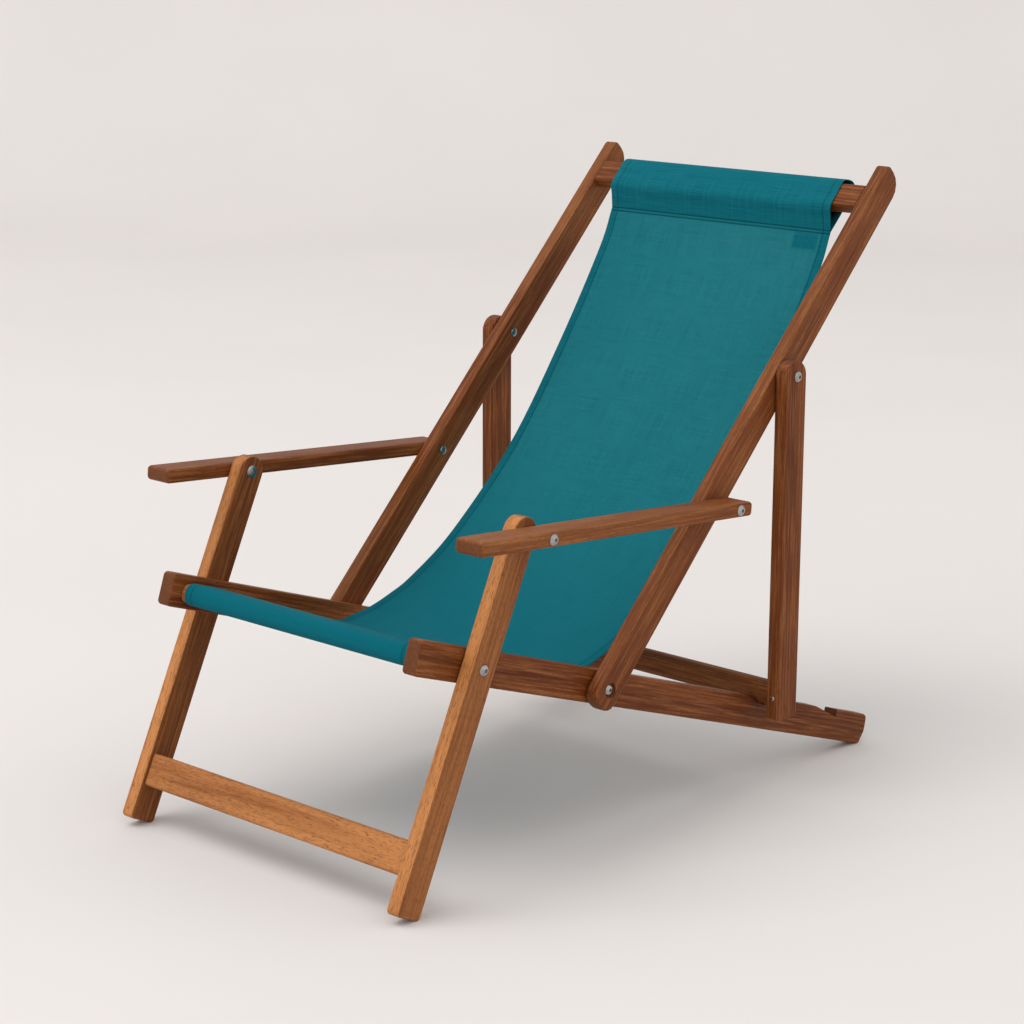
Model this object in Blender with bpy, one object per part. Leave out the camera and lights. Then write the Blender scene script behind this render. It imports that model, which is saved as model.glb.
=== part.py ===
"""Folding deck chair: a hardwood frame on five pairs of pivots, with a fabric sling.

Metres, +Z up, front towards -Y, symmetry plane X = 0, origin under the middle on the floor.
Each timber is drawn in its own side view, Y along it and Z across it, and is parented to an
empty that sits on the pivot it turns about. Names ending in _right are on the +X side.
"""
from math import acos, atan2, cos, hypot, pi, radians, sin

import bmesh
import bpy
from mathutils import Matrix, Vector

# Layers across the width, from the outside in
HALF_WIDTH = 0.300
ARM_WIDTH = 0.044
BOARD = 0.020
SEAT_BOARD = 0.022
LAYER_GAP = 0.0015
ARM_INNER = HALF_WIDTH - ARM_WIDTH
PROP_OUTER = ARM_INNER + BOARD
MID_OUTER = ARM_INNER - LAYER_GAP
MID_INNER = MID_OUTER - BOARD
SEAT_OUTER = MID_INNER - LAYER_GAP
SEAT_INNER = SEAT_OUTER - SEAT_BOARD

# Linkage: seat, back, armrest and leg lengths between pivots. They open out flat.
SEAT_LINK = 0.2485
BACK_LINK = 0.289
ARM_LINK = 0.3658
LEG_LINK = SEAT_LINK + BACK_LINK - ARM_LINK
SEAT_SLOPE = radians(17.8)
BACK_ANGLE = radians(46.5)
PROP_ANGLE = radians(-89.1)
PROP_PIVOT = 0.502
PROP_REACH = 0.4438
PROP_SHIFT = -0.0018

# Timber depths and how far each end passes its pivot
SEAT_DEPTH = 0.044
SEAT_FRONT = 0.3435
SEAT_REAR = 0.634
LEG_DEPTH = 0.041
BACK_DEPTH = 0.041
BACK_BELOW = 0.026
BACK_TOP = 0.848
BACK_TOP_REAR_ROUND = 0.025
BACK_TOP_FRONT_ROUND = 0.006
ARM_DEPTH = 0.019
ARM_AHEAD = 0.1255
ARM_BEHIND = 0.0255
PROP_DEPTH = 0.0425
PROP_BELOW = 0.0312
EDGE = 0.0020
ARM_EDGE = 0.004

# Notches in the seat rails, measured from the back pivot to each rear wall
NOTCH_WALLS = (0.3717, 0.5528)
NOTCH_LENGTH = 0.0555
NOTCH_DEPTH = 0.0108

# Cross bars: (along, across) is the centre of the section in its frame
FRONT_BAR = (-0.3003, -0.001)
FRONT_BAR_SIZE = (0.050, 0.025)
HEAD_BAR = (0.792, 0.0105)
HEAD_BAR_SIZE = (0.038, 0.020)
STRETCHER = (-0.2406, 0.006)
STRETCHER_SIZE = (0.043, 0.020)
PROP_BAR_SIZE = (0.034, 0.020)
FRONT_BAR_ROUND = 0.010
HEAD_BAR_ROUND = 0.004
PROP_BAR_ROUND = 0.008
TENON_LENGTH = 0.012
TENON_INSET = 0.005
FIT_GAP = 0.0003

# Sling
SLING_HALF = 0.1995
SHEET = 0.0012
SHEET_GAP = 0.001
LABEL_GAP = 0.0003
POCKET_STEPS = 4
SEAT_RUN = ((0.0115, 0.0232), (-0.016, 0.0095), (-0.042, -0.001), (-0.110, -0.004),
            (-0.200, 0.0045), (-0.268, 0.0125))
SEAT_HEM = ((-0.265, 0.002), (-0.245, 0.0070))
BACK_RUN = ((0.0275, -0.0012), (0.060, -0.020), (0.105, -0.040), (0.200, -0.064),
            (0.361, -0.0745), (0.530, -0.055), (0.685, -0.0260), (0.745, -0.0055))
HEAD_LOOP = ((0.770, 0.0218), (0.809, 0.0226), (0.8165, 0.0195), (0.8265, 0.0020),
             (0.8245, -0.0055), (0.815, -0.0085), (0.774, -0.0085), (0.748, -0.0090))
LABEL_AT = (0.160, 0.728)
LABEL_SIZE = (0.042, 0.024, 0.0008)

# Hardware
BOLT = 0.003
SHANK_HOLE = BOLT + FIT_GAP
HEAD = 0.0075
HEAD_HEIGHT = 0.0036
NUT_BARREL = 0.0045
NUT_HEAD = 0.0065
NUT_HEIGHT = 0.0018
NUT_DEPTH = 0.010
OPEN_PIVOT_PLAY = 0.004
RECESS_RADIUS = 0.010
RECESS_DEPTH = 0.004
WASHER_OUTER = 0.009
WASHER_THICK = 0.0009
PLATE_NUT = 0.0086
SCREW = 0.0016
SCREW_HEAD = 0.0034
SCREW_LENGTH = 0.010
SIDES = 16
HANDS = (("left", -1), ("right", 1))


def rounded(corners, steps=4):
    """Outline through (y, z, radius) corners, each rounded by an arc of its radius."""
    points = []
    count = len(corners)
    for i, (y, z, radius) in enumerate(corners):
        here = Vector((y, z))
        before = (Vector(corners[i - 1][:2]) - here).normalized()
        after = (Vector(corners[(i + 1) % count][:2]) - here).normalized()
        if radius == 0:
            points.append((y, z))
            continue
        half = acos(max(-1.0, min(1.0, before.dot(after)))) / 2
        centre = here + (before + after).normalized() * radius / sin(half)
        start = here + before * radius * cos(half) / sin(half) - centre
        turn = start.angle_signed(here + after * radius * cos(half) / sin(half) - centre)
        for k in range(steps + 1):
            angle = -turn * k / steps
            points.append((centre.x + start.x * cos(angle) - start.y * sin(angle),
                           centre.y + start.x * sin(angle) + start.y * cos(angle)))
    return [p for p, q in zip(points, points[-1:] + points) if hypot(p[0] - q[0], p[1] - q[1]) > 1e-5]


def rectangle(centre, size, radius, grow=0.0, steps=4):
    """Rounded rectangle of (along, across) size, grown outwards all round by grow."""
    half_y = size[0] / 2 + grow
    half_z = size[1] / 2 + grow
    y, z = centre
    reach = max(radius + grow, 0.0005)
    return rounded([(y - half_y, z - half_z, reach), (y + half_y, z - half_z, reach),
                    (y + half_y, z + half_z, reach), (y - half_y, z + half_z, reach)], steps)


def seat_outline():
    """Seat rail, with a rounded rear end that meets the floor."""
    half = SEAT_DEPTH / 2
    return rounded([(-SEAT_FRONT, -half, 0.006), (SEAT_REAR - 0.008, -half, 0.005),
                    (SEAT_REAR, -0.002, 0.012), (SEAT_REAR - 0.002, half, 0.008),
                    (-SEAT_FRONT, half, 0.006)])


def leg_outline(reach):
    """Front leg: round top about the armrest pivot, and a square foot reach below the seat pivot."""
    half = LEG_DEPTH / 2
    return rounded([(-reach, -half, 0.006), (LEG_LINK + half, -half, half),
                    (LEG_LINK + half, half, half), (-reach, half, 0.006)], 7)


def lowest(outline, angle):
    """Lowest world height of an outline tilted to angle, against its frame's origin."""
    return min(y * sin(angle) + z * cos(angle) for y, z in outline)


def along(origin, angle, distance, across=0.0):
    """World (y, z) of a point in a frame at origin, tilted to angle."""
    return (origin[0] + distance * cos(angle) - across * sin(angle),
            origin[1] + distance * sin(angle) + across * cos(angle))


def leg_tilt(seat_pivot, arm_pivot):
    """Leg angle that closes the four links, with the armrest's own angle."""
    reach = hypot(arm_pivot[0] - seat_pivot[0], arm_pivot[1] - seat_pivot[1])
    base = atan2(arm_pivot[1] - seat_pivot[1], arm_pivot[0] - seat_pivot[0])
    inner = acos((LEG_LINK ** 2 + reach ** 2 - ARM_LINK ** 2) / (2 * LEG_LINK * reach))
    top = along(seat_pivot, base + inner, LEG_LINK)
    return base + inner, atan2(arm_pivot[1] - top[1], arm_pivot[0] - top[0])


# Side view at rest: the rear ends and the feet stand on the floor, and Y = 0 is halfway
RAIL_ANGLE = -SEAT_SLOPE
BACK_HEIGHT = -lowest(seat_outline(), RAIL_ANGLE)
LEG_SEAT = along((0.0, BACK_HEIGHT), RAIL_ANGLE, -SEAT_LINK)
LEG_ANGLE, ARM_ANGLE = leg_tilt(LEG_SEAT, along((0.0, BACK_HEIGHT), BACK_ANGLE, BACK_LINK))
FOOT = (LEG_SEAT[1] + lowest(leg_outline(0.0), LEG_ANGLE)) / sin(LEG_ANGLE)
REAR_END = max(along((0.0, 0.0), RAIL_ANGLE, y, z)[0] for y, z in seat_outline())
FRONT_END = min(along(LEG_SEAT, LEG_ANGLE, y, z)[0] for y, z in leg_outline(FOOT))
BACK_SEAT = (-(REAR_END + FRONT_END) / 2, BACK_HEIGHT)
LEG_SEAT = along(BACK_SEAT, RAIL_ANGLE, -SEAT_LINK)
BACK_ARM = along(BACK_SEAT, BACK_ANGLE, BACK_LINK)
BACK_PROP = along(BACK_SEAT, BACK_ANGLE, PROP_PIVOT)


def clear_scene():
    for item in list(bpy.data.objects):
        bpy.data.objects.remove(item, do_unlink=True)


def material(name, colour, roughness, metallic=0.0):
    made = bpy.data.materials.new(name)
    made.use_nodes = True
    shader = made.node_tree.nodes["Principled BSDF"]
    shader.inputs["Base Color"].default_value = (*colour, 1.0)
    shader.inputs["Roughness"].default_value = roughness
    shader.inputs["Metallic"].default_value = metallic
    return made


def place(item, parent):
    bpy.context.scene.collection.objects.link(item)
    item.parent = parent
    return item


def frame(name, origin, angle):
    """Empty on a pivot axis at world (y, z), with its own Y along the timber it carries."""
    empty = place(bpy.data.objects.new(name, None), None)
    empty.location = (0.0, *origin)
    empty.rotation_euler = (angle, 0.0, 0.0)
    return empty


def solid(name, parent, form, finish, smooth=True):
    """Turn a closed bmesh into an object that faces outwards."""
    bmesh.ops.recalc_face_normals(form, faces=form.faces)
    mesh = bpy.data.meshes.new(name)
    form.to_mesh(mesh)
    form.free()
    if finish:
        mesh.materials.append(finish)
    if smooth:
        mesh.shade_smooth()
        mesh.set_sharp_from_angle(angle=radians(35))
    return place(bpy.data.objects.new(name, mesh), parent)


def loft(form, rings):
    """Closed skin over rings of (x, outline), all with the same number of points."""
    loops = [[form.verts.new((x, y, z)) for y, z in outline] for x, outline in rings]
    count = len(loops[0])
    for low, high in zip(loops, loops[1:]):
        for i in range(count):
            form.faces.new((low[i], low[(i + 1) % count], high[(i + 1) % count], high[i]))
    form.faces.new(loops[0])
    form.faces.new(loops[-1])
    return form


def board(name, parent, outline, inner, outer, side, finish, edge=EDGE):
    """Timber whose side view is the outline, between two X planes, with its long edges eased."""
    form = loft(bmesh.new(), [(side * inner, outline), (side * outer, outline)])
    bmesh.ops.recalc_face_normals(form, faces=form.faces)
    rims = [e for e in form.edges if abs(e.verts[0].co.x - e.verts[1].co.x) < 1e-6]
    bmesh.ops.bevel(form, geom=rims, offset=edge, segments=2, profile=0.5, affect="EDGES")
    return solid(name, parent, form, finish)


def cross_bar(name, parent, centre, size, radius, half_span, finish):
    """Bar across the chair: a rounded section with a tenon on each end."""
    tenon = rectangle(centre, (size[0] - 2 * TENON_INSET, size[1] - 2 * TENON_INSET), 0.002)
    full = rectangle(centre, size, radius)
    eased = rectangle(centre, size, radius, -0.0008)
    rings = [(half_span + TENON_LENGTH, tenon), (half_span, tenon), (half_span, eased),
             (half_span - 0.0008, full)]
    rings += [(-x, outline) for x, outline in reversed(rings)]
    return solid(name, parent, loft(bmesh.new(), rings), finish)


def turned(form, profile, side, centre=(0.0, 0.0), sides=SIDES):
    """Skin of (x, radius) stations turned about the X axis; a radius of 0 closes an end."""
    previous = None
    for x, radius in profile:
        if radius == 0:
            ring = [form.verts.new((side * x, *centre))]
        else:
            ring = [form.verts.new((side * x, centre[0] + radius * cos(2 * pi * k / sides),
                                    centre[1] + radius * sin(2 * pi * k / sides)))
                    for k in range(sides)]
        if previous:
            for k in range(sides):
                corners = [previous[k % len(previous)], previous[(k + 1) % len(previous)],
                           ring[(k + 1) % len(ring)], ring[k % len(ring)]]
                form.faces.new(list(dict.fromkeys(corners)))
        previous = ring
    return form


def cut(target, form, name):
    """Subtract a closed bmesh, drawn in the target's own frame, with a Boolean."""
    cutter = solid(name, target.parent, form, None, smooth=False)
    cutter.hide_render = True
    cutter.display_type = "WIRE"
    tool = target.modifiers.new(name, "BOOLEAN")
    tool.object = cutter
    tool.operation = "DIFFERENCE"
    tool.solver = "EXACT"


def drill(target, side, distance, stations):
    """Stepped round hole along X through (x, radius) stations, at a distance along the frame."""
    profile = [(stations[0][0], 0), *stations, (stations[-1][0], 0)]
    cut(target, turned(bmesh.new(), profile, side, (distance, 0.0)),
        f"hole_{target.name}_{len(target.modifiers)}")


def plain_hole(inner, outer, radius=SHANK_HOLE):
    return [(inner - 0.01, radius), (outer + 0.01, radius)]


def nut_hole(inner, outer):
    """Hole widened on the inner side for a sleeve nut's barrel."""
    step = inner + NUT_DEPTH + 0.0005
    return [(inner - 0.01, NUT_BARREL), (step, NUT_BARREL), (step, SHANK_HOLE), (outer + 0.01, SHANK_HOLE)]


def recessed_hole(inner, outer):
    """Hole widened on the outer side to sink a bolt head."""
    step = outer - RECESS_DEPTH
    return [(inner - 0.01, SHANK_HOLE), (step, SHANK_HOLE), (step, RECESS_RADIUS),
            (outer + 0.01, RECESS_RADIUS)]


def mortise(target, side, inner, centre, size):
    """Blind socket in the inner face for a cross bar's tenon."""
    socket = rectangle(centre, (size[0] - 2 * TENON_INSET, size[1] - 2 * TENON_INSET), 0.002,
                       FIT_GAP)
    form = loft(bmesh.new(), [(side * (inner - 0.002), socket),
                              (side * (inner + TENON_LENGTH + FIT_GAP), socket)])
    cut(target, form, f"mortise_{target.name}_{len(target.modifiers)}")


def cap_profile(face, radius, height):
    """Domed cap on a face at x = face, from its crown down to its rim."""
    dome = [(face + height * cos(pi * k / 8), radius * sin(pi * k / 8)) for k in range(4)]
    return dome + [(face + 2 * FIT_GAP, radius), (face + FIT_GAP, radius * 0.97)]


def bolt(name, parent, side, distance, face, tip, finish):
    """Dome-headed bolt along X, its head outside face and its shank running in to tip."""
    profile = cap_profile(face, HEAD, HEAD_HEIGHT)
    profile += [(face + FIT_GAP, BOLT), (tip, BOLT), (tip, 0)]
    item = solid(name, parent, turned(bmesh.new(), profile, side, (distance, 0.0)), finish)
    top = face + HEAD_HEIGHT
    socket = turned(bmesh.new(), [(top - 0.0024, 0), (top - 0.0024, 0.0026), (top + 0.001, 0.0026),
                                  (top + 0.001, 0)], side, (distance, 0.0), sides=6)
    cut(item, socket, f"socket_{name}")
    return item


def nut(name, parent, side, distance, face, finish):
    """Sleeve nut on an inner face: low dome inside, blind barrel outwards into the timber."""
    dome = [(2 * face - x, r) for x, r in cap_profile(face, NUT_HEAD, NUT_HEIGHT)]
    barrel = [(face - FIT_GAP, NUT_BARREL - FIT_GAP), (face + NUT_DEPTH, NUT_BARREL - FIT_GAP),
              (face + NUT_DEPTH, SHANK_HOLE), (face, SHANK_HOLE), (face, 0)]
    return solid(name, parent, turned(bmesh.new(), dome + barrel, side, (distance, 0.0)), finish)


def plate_nut(name, parent, side, distance, face, finish):
    """Wide nut without a barrel, for the pivot whose hole has play."""
    dome = [(2 * face - x, r) for x, r in cap_profile(face, PLATE_NUT, NUT_HEIGHT)]
    profile = dome + [(face - FIT_GAP, 0)]
    return solid(name, parent, turned(bmesh.new(), profile, side, (distance, 0.0)), finish)


def facing_front(profile, spot, sides):
    """Skin of (x, radius) stations turned so that +X faces the front of the frame, at a spot."""
    form = turned(bmesh.new(), profile, 1, sides=sides)
    bmesh.ops.rotate(form, verts=form.verts, cent=(0, 0, 0), matrix=Matrix.Rotation(pi / 2, 3, "Y"))
    bmesh.ops.translate(form, verts=form.verts, vec=spot)
    return form


def screw(name, post, spot, finish):
    """Small domed screw driven square into a timber's front face, in a pilot hole."""
    depth = SCREW_LENGTH + FIT_GAP
    pilot = [(-depth, 0), (-depth, SCREW + FIT_GAP), (0.01, SCREW + FIT_GAP), (0.01, 0)]
    cut(post, facing_front(pilot, spot, 8), f"pilot_{post.name}")
    profile = [(0.0014, 0), (0.0011, SCREW_HEAD * 0.6), (FIT_GAP, SCREW_HEAD), (FIT_GAP, SCREW),
               (-SCREW_LENGTH, SCREW), (-SCREW_LENGTH, 0)]
    return solid(name, post.parent, facing_front(profile, spot, 12), finish)


def washer(name, parent, side, distance, gap_inner, finish):
    """Flat ring in the gap between two layers of timber."""
    low = gap_inner + (LAYER_GAP - WASHER_THICK) / 2
    high = low + WASHER_THICK
    form = turned(bmesh.new(), [(low, SHANK_HOLE), (low, WASHER_OUTER), (high, WASHER_OUTER),
                                (high, SHANK_HOLE), (low, SHANK_HOLE)], side, (distance, 0.0))
    bmesh.ops.remove_doubles(form, verts=form.verts, dist=1e-6)
    return solid(name, parent, form, finish)


def smooth_run(points, steps=4):
    """Catmull-Rom curve through points, with steps pieces between each two."""
    ends = [2 * Vector(points[0]) - Vector(points[1]), *map(Vector, points),
            2 * Vector(points[-1]) - Vector(points[-2])]
    run = []
    for a, b, c, d in zip(ends, ends[1:], ends[2:], ends[3:]):
        for k in range(steps):
            t = k / steps
            run.append((2 * b + (c - a) * t + (2 * a - 5 * b + 4 * c - d) * t ** 2
                        + (3 * b - a - 3 * c + d) * t ** 3) / 2)
    return run + [Vector(points[-1])]


def strip(name, parent, run, finish):
    """Sheet of cloth across the chair, SHEET thick about a run of side-view points."""
    upper, lower = [], []
    for i, here in enumerate(run):
        heading = (run[min(i + 1, len(run) - 1)] - run[max(i - 1, 0)]).normalized()
        offset = Vector((-heading.y, heading.x)) * SHEET / 2
        upper.append(tuple(here + offset))
        lower.append(tuple(here - offset))
    outline = upper + lower[::-1]
    form = bmesh.new()
    left, right = [[form.verts.new((x, y, z)) for y, z in outline] for x in (-SLING_HALF, SLING_HALF)]
    count = len(outline)
    for i in range(count):
        form.faces.new((left[i], left[(i + 1) % count], right[(i + 1) % count], right[i]))
    for edge in (left, right):
        for i in range(len(run) - 1):
            form.faces.new((edge[i], edge[i + 1], edge[count - 2 - i], edge[count - 1 - i]))
    return solid(name, parent, form, finish)


def pocket(centre, size, radius, first, last):
    """Points round a bar at the sheet's distance, from ring point first up to last."""
    ring = rectangle(centre, size, radius, SHEET_GAP + SHEET / 2, POCKET_STEPS)
    return [Vector(ring[i % len(ring)]) for i in range(first, last)]


def notch(rail, side, wall):
    """Saw-tooth notch in a seat rail's top edge: a long ramp down to a square rear wall."""
    top = SEAT_DEPTH / 2
    above = 0.01
    wedge = [(wall, top - NOTCH_DEPTH), (wall, top + above),
             (wall - NOTCH_LENGTH * (1 + above / NOTCH_DEPTH), top + above)]
    form = loft(bmesh.new(), [(side * (SEAT_INNER - 0.01), wedge), (side * (SEAT_OUTER + 0.01), wedge)])
    cut(rail, form, f"notch_{rail.name}_{len(rail.modifiers)}")


def build_seat(seat, wood, cloth, steel):
    """Seat rails, front bar and the front half of the sling."""
    for name, side in HANDS:
        rail = board(f"seat_rail_{name}", seat, seat_outline(), SEAT_INNER, SEAT_OUTER, side, wood)
        for distance in (-SEAT_LINK, 0.0):
            drill(rail, side, distance, nut_hole(SEAT_INNER, SEAT_OUTER))
        mortise(rail, side, SEAT_INNER, FRONT_BAR, FRONT_BAR_SIZE)
        for wall in NOTCH_WALLS:
            notch(rail, side, wall)
        nut(f"seat_nut_{name}", seat, side, -SEAT_LINK, SEAT_INNER, steel)
        nut(f"hip_nut_{name}", seat, side, 0.0, SEAT_INNER, steel)
    cross_bar("front_bar", seat, FRONT_BAR, FRONT_BAR_SIZE, FRONT_BAR_ROUND, SEAT_INNER - FIT_GAP, wood)
    corner = POCKET_STEPS + 1
    turn = pocket(FRONT_BAR, FRONT_BAR_SIZE, FRONT_BAR_ROUND, 3 * corner - 1, 6 * corner)
    run = smooth_run(SEAT_RUN) + turn + [Vector(p) for p in SEAT_HEM]
    strip("sling_seat", seat, run, cloth)


def build_back(back, wood, cloth, label, steel):
    """Back rails, head bar and the rear half of the sling with its label."""
    for name, side in HANDS:
        outline = rounded([(-BACK_BELOW, -BACK_DEPTH / 2, 0.016),
                           (BACK_TOP, -BACK_DEPTH / 2, BACK_TOP_REAR_ROUND),
                           (BACK_TOP, BACK_DEPTH / 2, BACK_TOP_FRONT_ROUND),
                           (-BACK_BELOW, BACK_DEPTH / 2, 0.016)])
        rail = board(f"back_rail_{name}", back, outline, MID_INNER, MID_OUTER, side, wood)
        for distance in (BACK_LINK, PROP_PIVOT):
            drill(rail, side, distance, nut_hole(MID_INNER, MID_OUTER))
        drill(rail, side, 0.0, recessed_hole(MID_INNER, MID_OUTER))
        mortise(rail, side, MID_INNER, HEAD_BAR, HEAD_BAR_SIZE)
        nut(f"arm_nut_{name}", back, side, BACK_LINK, MID_INNER, steel)
        nut(f"prop_nut_{name}", back, side, PROP_PIVOT, MID_INNER, steel)
        bolt(f"hip_bolt_{name}", back, side, 0.0, MID_OUTER - RECESS_DEPTH, SEAT_INNER + 0.001, steel)
        washer(f"hip_washer_{name}", back, side, 0.0, SEAT_OUTER, steel)
    cross_bar("head_bar", back, HEAD_BAR, HEAD_BAR_SIZE, HEAD_BAR_ROUND, MID_INNER - FIT_GAP, wood)
    strip("sling_back", back, smooth_run(BACK_RUN) + [Vector(p) for p in HEAD_LOOP], cloth)
    x, distance = LABEL_AT
    form = loft(bmesh.new(), [(x - LABEL_SIZE[0] / 2, label_section(distance)),
                              (x + LABEL_SIZE[0] / 2, label_section(distance))])
    solid("sling_label", back, form, label)


def label_section(distance):
    """Side view of the label, lying on the rear face of the sling."""
    run = [p for p in smooth_run(BACK_RUN, 12) if abs(p.x - distance) < LABEL_SIZE[1] / 2]
    heading = (run[-1] - run[0]).normalized()
    out = Vector((heading.y, -heading.x))
    near = SHEET / 2 + LABEL_GAP
    return [tuple(run[0] + out * near), tuple(run[-1] + out * near),
            tuple(run[-1] + out * (near + LABEL_SIZE[2])), tuple(run[0] + out * (near + LABEL_SIZE[2]))]


def build_legs(leg, wood, steel):
    """Front legs and the stretcher between them."""
    for name, side in HANDS:
        post = board(f"front_leg_{name}", leg, leg_outline(FOOT), MID_INNER, MID_OUTER, side, wood)
        drill(post, side, 0.0, plain_hole(MID_INNER, MID_OUTER))
        drill(post, side, LEG_LINK, plain_hole(MID_INNER, MID_OUTER, SHANK_HOLE + OPEN_PIVOT_PLAY))
        mortise(post, side, MID_INNER, STRETCHER, STRETCHER_SIZE)
        bolt(f"seat_bolt_{name}", leg, side, 0.0, MID_OUTER, SEAT_INNER + 0.001, steel)
        washer(f"seat_washer_{name}", leg, side, 0.0, SEAT_OUTER, steel)
    cross_bar("leg_stretcher", leg, STRETCHER, STRETCHER_SIZE, 0.004, MID_INNER - FIT_GAP, wood)


def build_arm(arm, name, side, wood, steel):
    """One armrest with the bolts it carries to the back rail and to the front leg."""
    half = ARM_DEPTH / 2
    outline = rounded([(-ARM_LINK - ARM_AHEAD, -half, 0.005), (ARM_BEHIND, -half, 0.005),
                       (ARM_BEHIND, half, 0.005), (-ARM_LINK - ARM_AHEAD, half, 0.005)])
    rest = board(f"armrest_{name}", arm, outline, ARM_INNER, HALF_WIDTH, side, wood, ARM_EDGE)
    for distance in (-ARM_LINK, 0.0):
        drill(rest, side, distance, plain_hole(ARM_INNER, HALF_WIDTH))
    bolt(f"arm_bolt_{name}", arm, side, 0.0, HALF_WIDTH, MID_INNER + 0.001, steel)
    washer(f"arm_washer_{name}", arm, side, 0.0, MID_OUTER, steel)
    bolt(f"leg_bolt_{name}", arm, side, -ARM_LINK, HALF_WIDTH, MID_INNER, steel)
    washer(f"leg_washer_{name}", arm, side, -ARM_LINK, MID_OUTER, steel)
    plate_nut(f"leg_nut_{name}", arm, side, -ARM_LINK, MID_INNER, steel)


def build_prop(prop, wood, steel):
    """Prop legs, the cross bar that stands in the notches, and the screws and bolts they carry."""
    half = PROP_DEPTH / 2
    outline = rounded([(-half, PROP_SHIFT - half, half),
                       (PROP_REACH + PROP_BELOW, PROP_SHIFT - half, 0.004),
                       (PROP_REACH + PROP_BELOW, PROP_SHIFT + half, 0.004),
                       (-half, PROP_SHIFT + half, half)], 7)
    centre = (PROP_REACH, PROP_SHIFT)
    for name, side in HANDS:
        post = board(f"prop_leg_{name}", prop, outline, ARM_INNER, PROP_OUTER, side, wood)
        drill(post, side, 0.0, plain_hole(ARM_INNER, PROP_OUTER))
        mortise(post, side, ARM_INNER, centre, PROP_BAR_SIZE)
        head = (side * (ARM_INNER + BOARD / 2), PROP_REACH, PROP_SHIFT - half)
        screw(f"prop_screw_{name}", post, head, steel)
        bolt(f"prop_bolt_{name}", prop, side, 0.0, PROP_OUTER, MID_INNER + 0.001, steel)
        washer(f"prop_washer_{name}", prop, side, 0.0, MID_OUTER, steel)
    cross_bar("prop_bar", prop, centre, PROP_BAR_SIZE, PROP_BAR_ROUND, ARM_INNER - FIT_GAP, wood)


def build():
    clear_scene()
    wood = material("oiled_wood", (0.42, 0.20, 0.09), 0.5)
    cloth = material("mesh_cloth", (0.02, 0.20, 0.22), 0.8)
    label = material("label_cloth", (0.30, 0.36, 0.36), 0.8)
    steel = material("steel", (0.62, 0.61, 0.59), 0.3, 1.0)
    build_seat(frame("seat", BACK_SEAT, RAIL_ANGLE), wood, cloth, steel)
    build_back(frame("back", BACK_SEAT, BACK_ANGLE), wood, cloth, label, steel)
    build_legs(frame("legs", LEG_SEAT, LEG_ANGLE), wood, steel)
    for name, side in HANDS:
        build_arm(frame(f"arm_{name}", BACK_ARM, ARM_ANGLE), name, side, wood, steel)
    build_prop(frame("prop", BACK_PROP, PROP_ANGLE), wood, steel)


build()
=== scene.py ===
"""Folding deck chair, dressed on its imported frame: oiled hardwood, steel bolts and a teal mesh sling."""

from math import cos, pi, radians, sin

import bmesh
import bpy
from mathutils import Matrix, Vector


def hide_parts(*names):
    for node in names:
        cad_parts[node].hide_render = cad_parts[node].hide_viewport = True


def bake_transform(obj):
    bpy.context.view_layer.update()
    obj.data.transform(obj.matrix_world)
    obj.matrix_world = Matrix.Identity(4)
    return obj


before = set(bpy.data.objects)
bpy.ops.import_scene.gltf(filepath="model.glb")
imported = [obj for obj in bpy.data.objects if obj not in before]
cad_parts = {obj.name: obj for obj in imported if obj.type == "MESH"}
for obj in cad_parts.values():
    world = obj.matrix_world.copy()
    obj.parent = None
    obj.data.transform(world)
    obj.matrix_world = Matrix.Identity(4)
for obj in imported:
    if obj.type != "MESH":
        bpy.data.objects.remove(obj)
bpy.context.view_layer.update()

# Pivots and slopes of the frame, as in the CAD
BACK_PIVOT = (-0.11356, 0.21152)
SEAT_ANGLE = radians(-17.8)
BACK_ANGLE = radians(46.5)
LEG_ANGLE = radians(65.77)
ARM_ANGLE = radians(-3.59)
PROP_ANGLE = radians(-89.1)

# Sling path: (along, across) points in the seat's frame, then in the back's
FRONT_BAR = (-0.3003, -0.001)
FRONT_BAR_SIZE = (0.050, 0.025)
FRONT_BAR_ROUND = 0.010
SHEET_GAP = 0.0016
SEAT_HEM = ((-0.243, 0.0054), (-0.262, 0.0022))
FRONT_SEAM = (-0.247, 0.0095)
SEAT_RUN = ((-0.268, 0.0125), (-0.200, 0.0045), (-0.110, -0.004), (-0.042, -0.001), (-0.016, 0.0095))
BACK_RUN = ((0.0260, -0.0005), (0.060, -0.020), (0.105, -0.040), (0.200, -0.064),
            (0.361, -0.0745), (0.530, -0.055), (0.685, -0.0260), (0.745, -0.0055))
HEAD_LOOP = ((0.757, 0.0080), (0.769, 0.0212), (0.790, 0.0223), (0.809, 0.0226), (0.8165, 0.0195),
             (0.8235, 0.0105), (0.8265, 0.0020), (0.8245, -0.0055), (0.815, -0.0085), (0.795, -0.0085),
             (0.772, -0.0085), (0.7465, -0.0078))
SLING_HALF = 0.1985
FRONT_HALF = 0.2030
HEAD_HALF = 0.1965
HEM_WIDTH = 0.014
HEM_GAP = 0.0011
CLOTH_THICK = 0.0005
SAG = 0.004
SAG_START = 0.055
SAG_RAMP_HEAD = 0.12
SAG_RAMP_FRONT = 0.05
THREAD_PITCH = 0.00115
STITCH_PITCH = 0.0034
# Painted shade: from here down the sling towards the seat, the cloth is painted deeper and shows less through
# its gaps
PAINTED_SHADE_FROM = 0.30
PAINTED_SHADE_TO = 0.78
LABEL_X = (0.139, 0.181)
LABEL_ALONG = (0.716, 0.741)

# Camera and stage
CAMERA_AT = (2.2729, -2.5273, 1.1684)
CAMERA_AZIMUTH = radians(42.2426)
CAMERA_ELEVATION = radians(13.0125)
CAMERA_ROLL = radians(0.8362)
LENS = 90.96
FLOOR_REACH = 6.0
PAPER_HALF_WIDTH = 14.0
PAPER_CURVE = 2.0
PAPER_TOP = 9.0

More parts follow.
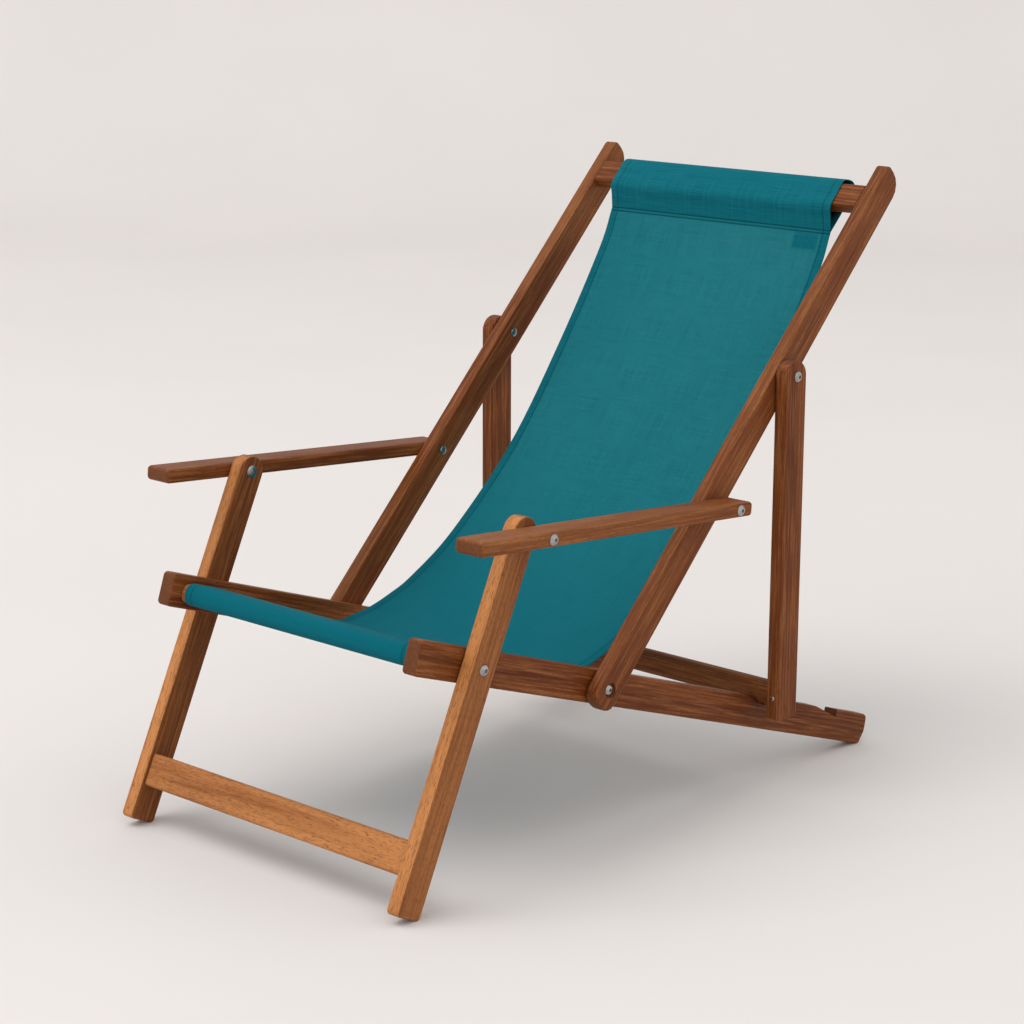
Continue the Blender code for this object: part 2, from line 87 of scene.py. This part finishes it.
LIT_TEAL = (0.010, 0.158, 0.192)
# The cloth's deeper tone, also used as painted shade on doubled cloth and towards the seat
DEEP_AND_SHADED_TEAL = (0.0003, 0.112, 0.152)
PALE_WOOD = (0.56, 0.235, 0.078)
MID_WOOD = (0.215, 0.056, 0.011)
DARK_WOOD = (0.094, 0.020, 0.004)
PAPER = (0.715, 0.690, 0.678)
LIT_PAPER = (0.730, 0.703, 0.693)


def along(origin, angle, distance, across):
    """World (y, z) of a point in a tilted side-view frame."""
    return Vector((origin[0] + distance * cos(angle) - across * sin(angle),
                   origin[1] + distance * sin(angle) + across * cos(angle)))


class Graph:
    """Short names for building a material's node tree."""

    def __init__(self, name):
        self.material = bpy.data.materials.new(name)
        self.material.use_nodes = True
        self.tree = self.material.node_tree
        self.shader = self.tree.nodes["Principled BSDF"]

    def node(self, kind, **settings):
        made = self.tree.nodes.new(kind)
        for key, value in settings.items():
            setattr(made, key, value)
        return made

    def feed(self, socket, value):
        if isinstance(value, bpy.types.NodeSocket):
            self.tree.links.new(value, socket)
        elif hasattr(value, "__len__") and len(value) == 3 and socket.type == "RGBA":
            socket.default_value = (*value, 1.0)
        else:
            socket.default_value = value

    def math(self, operation, a, b=0.0, clamp=False):
        made = self.node("ShaderNodeMath", operation=operation, use_clamp=clamp)
        self.feed(made.inputs[0], a)
        self.feed(made.inputs[1], b)
        return made.outputs[0]

    def remap(self, value, low, high, to_low=0.0, to_high=1.0):
        made = self.node("ShaderNodeMapRange", interpolation_type="SMOOTHSTEP")
        for socket, item in zip(made.inputs[:5], (value, low, high, to_low, to_high)):
            self.feed(socket, item)
        return made.outputs[0]

    def mix(self, factor, a, b, blend="MIX"):
        made = self.node("ShaderNodeMix", data_type="RGBA", blend_type=blend)
        self.feed(made.inputs[0], factor)
        self.feed(made.inputs[6], a)
        self.feed(made.inputs[7], b)
        return made.outputs[2]

    def scaled(self, vector, factors):
        made = self.node("ShaderNodeVectorMath", operation="MULTIPLY")
        self.feed(made.inputs[0], vector)
        self.feed(made.inputs[1], factors)
        return made.outputs[0]

    def noise(self, vector, scale=1.0, detail=3.0, roughness=0.5, distortion=0.0):
        made = self.node("ShaderNodeTexNoise")
        self.feed(made.inputs["Vector"], vector)
        self.feed(made.inputs["Scale"], scale)
        self.feed(made.inputs["Detail"], detail)
        self.feed(made.inputs["Roughness"], roughness)
        self.feed(made.inputs["Distortion"], distortion)
        return made.outputs[0]

    def bump(self, height, strength, distance, normal=None):
        made = self.node("ShaderNodeBump")
        self.feed(made.inputs["Strength"], strength)
        self.feed(made.inputs["Distance"], distance)
        self.feed(made.inputs["Height"], height)
        if normal:
            self.feed(made.inputs["Normal"], normal)
        return made.outputs[0]

    def finish(self, **inputs):
        for name, value in inputs.items():
            self.feed(self.shader.inputs[name.replace("_", " ")], value)
        return self.material


def wood(name, angle, seed, lengthwise=True, tone=0.5, painted_side_shade=0.0):
    """Oiled hardwood, grain along a tilted board or a cross bar; its X faces can be darkened as painted
    shade.
    """
    g = Graph(name)
    place = g.node("ShaderNodeTexCoord")
    turned = g.node("ShaderNodeMapping")
    turned.inputs["Rotation"].default_value = (-angle, 0.0, 0.0)
    turned.inputs["Location"].default_value = (0.37 * seed, 1.91 * seed, 0.53 * seed)
    g.feed(turned.inputs["Vector"], place.outputs["Object"])
    facing = g.node("ShaderNodeMapping", vector_type="VECTOR")
    facing.inputs["Rotation"].default_value = (-angle, 0.0, 0.0)
    g.feed(facing.inputs["Vector"], place.outputs["Normal"])
    split = g.node("ShaderNodeSeparateXYZ")
    g.feed(split.inputs[0], facing.outputs[0])
    spot = turned.outputs[0]

    def stretch(across, run):
        return g.scaled(spot, (across, run, across) if lengthwise else (run, across, across))

    broad = g.noise(stretch(9.0, 1.6), detail=2.0, distortion=0.6)
    bands = g.noise(stretch(55.0, 2.6), detail=5.0, roughness=0.62, distortion=0.35)
    fibre = g.noise(stretch(330.0, 9.0), detail=4.0, roughness=0.7)
    pores = g.noise(stretch(1100.0, 120.0), detail=1.5, roughness=0.5)
    side_faces_shaded = g.remap(g.math("ABSOLUTE", split.outputs[0]), 0.6, 0.9)
    tint = g.math("ADD", g.math("MULTIPLY", broad, 0.9), tone - 0.45)
    # Painted shade: the board's X faces are darkened, standing in for the light that falls from the
    # front-left
    tint = g.math("SUBTRACT", tint, g.math("MULTIPLY", side_faces_shaded, painted_side_shade))
    colour = g.mix(g.remap(tint, 0.15, 0.85), DARK_WOOD, PALE_WOOD)
    colour = g.mix(g.remap(bands, 0.36, 0.66, 0.50, 0.0), colour, MID_WOOD)
    colour = g.mix(g.remap(bands, 0.30, 0.46, 0.24, 0.0), colour, DARK_WOOD)
    colour = g.mix(g.remap(fibre, 0.42, 0.70, 0.0, 0.34), colour, PALE_WOOD)
    colour = g.mix(g.remap(fibre, 0.25, 0.45, 0.36, 0.0), colour, DARK_WOOD)
    pore = g.remap(pores, 0.55, 0.66)
    colour = g.mix(g.math("MULTIPLY", pore, 0.55), colour, (0.10, 0.030, 0.012))
    end = g.remap(g.math("ABSOLUTE", split.outputs[1 if lengthwise else 0]), 0.75, 0.95)
    colour = g.mix(g.math("MULTIPLY", end, 0.72), colour, (0.12, 0.042, 0.016))
    rough = g.math("ADD", g.math("MULTIPLY", fibre, 0.22), 0.36)
    height = g.math("SUBTRACT", fibre, g.math("MULTIPLY", pore, 0.8))
    return g.finish(Base_Color=colour, Roughness=rough, Specular_IOR_Level=0.10, Coat_Weight=0.02,
                    Coat_Roughness=0.35, Normal=g.bump(height, 0.35, 0.0005))


def steel():
    """Stainless bolts: softly polished, with fine scratches and a mottled film; the steel is painted dark as
    a reflection of dark surroundings.
    """
    g = Graph("stainless")
    place = g.node("ShaderNodeTexCoord").outputs["Object"]
    scratch = g.noise(g.scaled(place, (2600.0, 2600.0, 240.0)), detail=3.0, roughness=0.6)
    film = g.noise(place, scale=160.0, detail=2.0)
    # Painted reflection: both steel colours are kept dark, standing in for dark surroundings mirrored in the
    # bolts
    colour = g.mix(g.remap(film, 0.35, 0.7), (0.30, 0.292, 0.282), (0.42, 0.413, 0.404))
    rough = g.math("ADD", g.math("MULTIPLY", scratch, 0.20), 0.14)
    return g.finish(Base_Color=colour, Metallic=1.0, Roughness=rough,
                    Normal=g.bump(scratch, 0.15, 0.0002))


def line_mask(g, value, at, half_width):
    """1 on a thin line where value is near at."""
    away = g.math("ABSOLUTE", g.math("SUBTRACT", value, at))
    return g.remap(away, half_width * 0.6, half_width, 1.0, 0.0)


def patch_mask(g, u, v):
    """1 over the label sewn behind the mesh, which shows through it as a deeper patch."""
    across = g.math("ABSOLUTE", g.math("SUBTRACT", u, sum(LABEL_X) / 2))
    down = g.math("ABSOLUTE", g.math("SUBTRACT", v, BACK_RUN[-1][0] - sum(LABEL_ALONG) / 2))
    half_x = (LABEL_X[1] - LABEL_X[0]) / 2
    half_v = (LABEL_ALONG[1] - LABEL_ALONG[0]) / 2
    return g.math("MULTIPLY", g.remap(across, half_x - 0.001, half_x, 1.0, 0.0),
                  g.remap(down, half_v - 0.001, half_v, 1.0, 0.0))


def mesh_cloth(name, length, label=False):
    """Coated mesh: crossed threads, tiny gaps, slubs, hems and stitches; painted shade makes it deeper
    towards the seat and over doubled cloth.
    """
    g = Graph(name)
    layers = g.node("ShaderNodeAttribute", attribute_name="layers").outputs["Fac"]
    place = g.node("ShaderNodeUVMap", uv_map="cloth").outputs[0]
    split = g.node("ShaderNodeSeparateXYZ")
    g.feed(split.inputs[0], place)
    u, v = split.outputs[0], split.outputs[1]
    warp = g.math("SINE", g.math("MULTIPLY", u, 2 * pi / THREAD_PITCH))
    weft = g.math("SINE", g.math("MULTIPLY", v, 2 * pi / THREAD_PITCH))
    thread = g.math("MAXIMUM", warp, weft)
    hole = g.remap(thread, -0.55, -0.15, 1.0, 0.0)
    long_slub = g.noise(g.scaled(place, (780.0, 14.0, 1.0)), detail=3.0, roughness=0.7)
    cross_slub = g.noise(g.scaled(place, (14.0, 780.0, 1.0)), detail=3.0, roughness=0.7)
    broad = g.noise(g.scaled(place, (7.0, 4.0, 1.0)), detail=2.0)
    slub = g.math("ADD", long_slub, cross_slub)
    # Painted shade: doubled cloth at the hems and pockets takes the deep teal, standing in for the light that
    # no longer comes through it
    colour = g.mix(layers, LIT_TEAL, DEEP_AND_SHADED_TEAL)
    colour = g.mix(g.remap(slub, 0.78, 1.28, 0.0, 0.36), colour, (0.022, 0.225, 0.26))
    colour = g.mix(g.remap(slub, 0.72, 0.98, 0.38, 0.0), colour, (0.0005, 0.055, 0.072))
    colour = g.mix(g.remap(broad, 0.3, 0.7, 0.0, 0.16), colour, DEEP_AND_SHADED_TEAL)
    # Painted shade: deeper teal towards the seat, standing in for the shadow behind the cloth there
    painted_seat_shade = g.remap(v, PAINTED_SHADE_FROM, PAINTED_SHADE_TO)
    colour = g.mix(g.math("MULTIPLY", painted_seat_shade, 0.70), colour, DEEP_AND_SHADED_TEAL)
    side = g.math("ABSOLUTE", u)
    stitch = g.math("SINE", g.math("MULTIPLY", v, 2 * pi / STITCH_PITCH))
    across = g.math("SINE", g.math("MULTIPLY", u, 2 * pi / STITCH_PITCH))
    hem_row = line_mask(g, side, SLING_HALF - HEM_WIDTH + 0.002, 0.0009)
    top_rows = g.math("MAXIMUM", line_mask(g, v, -0.0008, 0.0012), line_mask(g, v, 0.0040, 0.0012))
    front_row = line_mask(g, v, length - 0.004, 0.0011)
    cross_rows = g.math("MAXIMUM", top_rows, front_row)
    sewn = g.math("MAXIMUM", g.math("MULTIPLY", hem_row, g.remap(stitch, -0.5, 0.0, 0.35, 1.0)),
                  g.math("MULTIPLY", cross_rows, g.remap(across, -0.5, 0.0, 0.45, 1.0)))
    colour = g.mix(g.math("MULTIPLY", sewn, 0.88), colour, (0.0005, 0.032, 0.043))
    if label:
        colour = g.mix(0.7, colour, (0.16, 0.20, 0.20))
    else:
        colour = g.mix(g.math("MULTIPLY", patch_mask(g, u, v), 0.75), colour, DEEP_AND_SHADED_TEAL)
    gap = g.math("MULTIPLY", hole, g.math("SUBTRACT", 1.0, layers, clamp=True))
    # Painted shade: the gaps let less through towards the seat
    let_through = g.remap(v, PAINTED_SHADE_FROM, PAINTED_SHADE_TO, 0.60, 0.15)
    opacity = g.math("SUBTRACT", 1.0, g.math("MULTIPLY", gap, let_through), clamp=True)
    height = g.math("SUBTRACT", g.math("MULTIPLY", thread, 0.5), g.math("MULTIPLY", sewn, 1.5))
    return g.finish(Base_Color=colour, Roughness=0.8, Specular_IOR_Level=0.05, Sheen_Weight=0.01,
                    Sheen_Roughness=0.5, Alpha=opacity, Normal=g.bump(height, 0.45, 0.0003))


def paper_sweep():
    """Seamless studio paper."""
    g = Graph("studio_paper")
    place = g.node("ShaderNodeTexCoord").outputs["Object"]
    mottle = g.noise(place, scale=1.3, detail=3.0)
    colour = g.mix(g.remap(mottle, 0.3, 0.7), PAPER, LIT_PAPER)
    grain = g.noise(place, scale=420.0, detail=2.0)
    return g.finish(Base_Color=colour, Roughness=0.92, Specular_IOR_Level=0.1,
                    Normal=g.bump(grain, 0.08, 0.0006))


def curve_through(points, steps):
    """Catmull-Rom curve through points, with steps pieces between each two."""
    ends = [2 * points[0] - points[1], *points, 2 * points[-1] - points[-2]]
    run = []
    for a, b, c, d in zip(ends, ends[1:], ends[2:], ends[3:]):
        for k in range(steps):
            t = k / steps
            run.append((2 * b + (c - a) * t + (2 * a - 5 * b + 4 * c - d) * t ** 2
                        + (3 * b - a - 3 * c + d) * t ** 3) / 2)
    return run + [points[-1]]


def round_bar():
    """The sheet's way round the front bar, from its rear foot under and over to the top."""
    half_y = FRONT_BAR_SIZE[0] / 2 + SHEET_GAP
    half_z = FRONT_BAR_SIZE[1] / 2 + SHEET_GAP
    radius = FRONT_BAR_ROUND + SHEET_GAP
    corners = ((1, -1, 360), (-1, -1, 270), (-1, 1, 180), (1, 1, 90))
    points = []
    for sign_y, sign_z, first in corners:
        centre = Vector((FRONT_BAR[0] + sign_y * (half_y - radius),
                         FRONT_BAR[1] + sign_z * (half_z - radius)))
        stop = 5 if sign_y < 0 or sign_z < 0 else 1
        for k in range(stop):
            turn = radians(first - 90 * k / 4)
            points.append(centre + Vector((cos(turn), sin(turn))) * radius)
    return points


def sling_path():
    """World (y, z) stations from the head pocket's rear hem, over and down, to the front pocket's hem."""
    seat = [Vector(p) for p in SEAT_HEM] + round_bar() + curve_through([Vector(p) for p in SEAT_RUN], 8)
    lower = [along(BACK_PIVOT, SEAT_ANGLE, *p) for p in seat]
    upper = [along(BACK_PIVOT, BACK_ANGLE, *p) for p in BACK_RUN]
    loop = [along(BACK_PIVOT, BACK_ANGLE, *p) for p in (BACK_RUN[-1], *HEAD_LOOP)]
    run = lower[:-1] + curve_through(lower[-2:] + upper, 8)[8:] + curve_through(loop, 8)[1:]
    return run[::-1]


def sling_section(half):
    """(x, layer offset, doubled) across the cloth: hem turned under, face, hem turned under."""
    inner = half - HEM_WIDTH
    side = [(inner, -HEM_GAP, 1.0), (half - 0.0012, -HEM_GAP, 1.0), (half - 0.0003, -HEM_GAP * 0.8, 1.0),
            (half, -HEM_GAP / 2, 1.0), (half - 0.0003, -HEM_GAP * 0.2, 1.0), (half - 0.0012, 0.0, 1.0),
            (inner + 0.0002, 0.0, 1.0), (inner - 0.0004, 0.0, 0.0)]
    face = [(inner * (1 - 2 * k / 14), 0.0, 0.0) for k in range(1, 14)]
    return side + face + [(-x, offset, doubled) for x, offset, doubled in reversed(side)]


def nearest(path, spot, first=0, last=None):
    """Index of the station nearest a spot, looking only between first and last."""
    stop = len(path) if last is None else last
    return min(range(first, stop), key=lambda i: (path[i] - spot).length)


def build_sling():
    """The one cloth of the sling, bent over the hip pivot."""
    path = sling_path()
    lengths = [0.0]
    for a, b in zip(path, path[1:]):
        lengths.append(lengths[-1] + (b - a).length)
    seam = nearest(path, along(BACK_PIVOT, BACK_ANGLE, *BACK_RUN[-1]), first=30)
    foot = nearest(path, along(BACK_PIVOT, SEAT_ANGLE, *FRONT_SEAM), last=len(path) - 12)
    form = bmesh.new()
    uv = form.loops.layers.uv.new("cloth")
    doubled = form.verts.layers.float.new("layers")
    columns = sling_section(SLING_HALF)
    grid, where = [], {}
    for i, here in enumerate(path):
        heading = (path[min(i + 1, len(path) - 1)] - path[max(i - 1, 0)]).normalized()
        outward = Vector((heading.y, -heading.x))
        free = min(1.0, max(0.0, (lengths[i] - lengths[seam] - SAG_START) / SAG_RAMP_HEAD),
                   max(0.0, (lengths[foot] - lengths[i]) / SAG_RAMP_FRONT))
        row = []
        width = (HEAD_HALF + (FRONT_HALF - HEAD_HALF) * lengths[i] / lengths[-1]) / SLING_HALF
        for x, offset, layer in columns:
            drop = SAG * free * (1 - (x / SLING_HALF) ** 2)
            spot = here - outward * (drop - offset)
            vert = form.verts.new((x * width, spot.x, spot.y))
            vert[doubled] = max(layer, 0.0 if seam < i < foot else 1.0)
            where[vert] = (x, lengths[i] - lengths[seam])
            row.append(vert)
        grid.append(row)
    for low, high in zip(grid, grid[1:]):
        for k in range(len(columns) - 1):
            face = form.faces.new((low[k], low[k + 1], high[k + 1], high[k]))
            for loop in face.loops:
                loop[uv].uv = where[loop.vert]
    mesh = bpy.data.meshes.new("sling")
    form.to_mesh(mesh)
    form.free()
    mesh.shade_smooth()
    mesh.materials.append(mesh_cloth("teal_mesh", lengths[foot] - lengths[seam]))
    sling = bpy.data.objects.new("sling", mesh)
    bpy.context.scene.collection.objects.link(sling)
    thick = sling.modifiers.new("thickness", "SOLIDIFY")
    thick.thickness = CLOTH_THICK
    thick.offset = 0.0
    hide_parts("sling_seat", "sling_back")
    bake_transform(sling)


def paint_frame(metal, label):
    """Grain that follows every board, with a tone of its own for each."""
    # The last column darkens a board's X faces as painted shade; only the front leg has it
    groups = (("seat_rail", SEAT_ANGLE, True, 0.20, 0.0), ("back_rail", BACK_ANGLE, True, 0.20, 0.0),
              ("front_leg", LEG_ANGLE, True, 0.80, 0.42), ("armrest", ARM_ANGLE, True, 0.26, 0.0),
              ("prop_leg", PROP_ANGLE, True, 0.24, 0.0), ("front_bar", SEAT_ANGLE, False, 0.5, 0.0),
              ("head_bar", BACK_ANGLE, False, 0.24, 0.0), ("leg_stretcher", LEG_ANGLE, False, 0.68, 0.0),
              ("prop_bar", PROP_ANGLE, False, 0.20, 0.0))
    for seed, (name, node) in enumerate(sorted(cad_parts.items())):
        group = [g for g in groups if name.startswith(g[0])]
        if group:
            _, angle, lengthwise, tone, painted_side_shade = group[0]
            finish = wood(f"wood_{name}", angle, seed, lengthwise, tone + 0.03 * sin(5 * seed), painted_side_shade)
        else:
            finish = label if name == "sling_label" else metal
        for part in node.material_slots:
            part.material = finish


def build_stage():
    """Paper that runs level under the chair and curves up behind it."""
    form = bmesh.new()
    profile = [(-FLOOR_REACH, 0.0), (FLOOR_REACH, 0.0)]
    for k in range(1, 13):
        turn = k * pi / 24
        profile.append((FLOOR_REACH + PAPER_CURVE * sin(turn), PAPER_CURVE * (1 - cos(turn))))
    profile.append((FLOOR_REACH + PAPER_CURVE, PAPER_TOP))
    rows = [[form.verts.new((x, y, z)) for y, z in profile]
            for x in (-PAPER_HALF_WIDTH, PAPER_HALF_WIDTH)]
    for k in range(len(profile) - 1):
        form.faces.new((rows[0][k], rows[1][k], rows[1][k + 1], rows[0][k + 1]))
    mesh = bpy.data.meshes.new("paper")
    form.to_mesh(mesh)
    form.free()
    mesh.shade_smooth()
    mesh.materials.append(paper_sweep())
    paper = bpy.data.objects.new("paper", mesh)
    paper.rotation_euler = (0.0, 0.0, CAMERA_AZIMUTH)
    bpy.context.scene.collection.objects.link(paper)


def build_camera():
    data = bpy.data.cameras.new("camera")
    data.lens = LENS
    data.sensor_width = 36.0
    right = Vector((cos(CAMERA_AZIMUTH), sin(CAMERA_AZIMUTH), 0.0))
    ahead = Vector((-sin(CAMERA_AZIMUTH) * cos(CAMERA_ELEVATION),
                    cos(CAMERA_AZIMUTH) * cos(CAMERA_ELEVATION), -sin(CAMERA_ELEVATION)))
    up = right.cross(ahead)
    across = right * cos(CAMERA_ROLL) + up * sin(CAMERA_ROLL)
    rise = up * cos(CAMERA_ROLL) - right * sin(CAMERA_ROLL)
    camera = bpy.data.objects.new("camera", data)
    camera.matrix_world = Matrix.Translation(CAMERA_AT) @ Matrix((across, rise, -ahead)).transposed().to_4x4()
    bpy.context.scene.collection.objects.link(camera)
    bpy.context.scene.camera = camera


def area_light(name, azimuth, elevation, distance, size, power, colour):
    """Square area light aimed at the chair's middle; azimuth 0 is in front, 90 on its +X side."""
    data = bpy.data.lights.new(name, "AREA")
    data.size = size
    data.energy = power
    data.color = colour
    light = bpy.data.objects.new(name, data)
    a, e = radians(azimuth), radians(elevation)
    direction = Vector((sin(a) * cos(e), -cos(a) * cos(e), sin(e)))
    light.location = Vector((0.0, 0.0, 0.4)) + direction * distance
    light.rotation_euler = direction.to_track_quat("Z", "Y").to_euler()
    bpy.context.scene.collection.objects.link(light)


def build_lights():
    world = bpy.data.worlds.new("studio")
    world.use_nodes = True
    background = world.node_tree.nodes["Background"]
    background.inputs[0].default_value = (1.0, 0.985, 0.97, 1.0)
    background.inputs[1].default_value = 1.00
    bpy.context.scene.world = world
    bpy.context.scene.view_settings.view_transform = "Standard"
    area_light("key", -28.0, 57.0, 10.0, 6.5, 340.0, (1.0, 0.985, 0.965))


def build():
    build_sling()
    paint_frame(steel(), mesh_cloth("label_cloth", LABEL_ALONG[1], label=True))
    build_stage()
    build_camera()
    build_lights()


build()
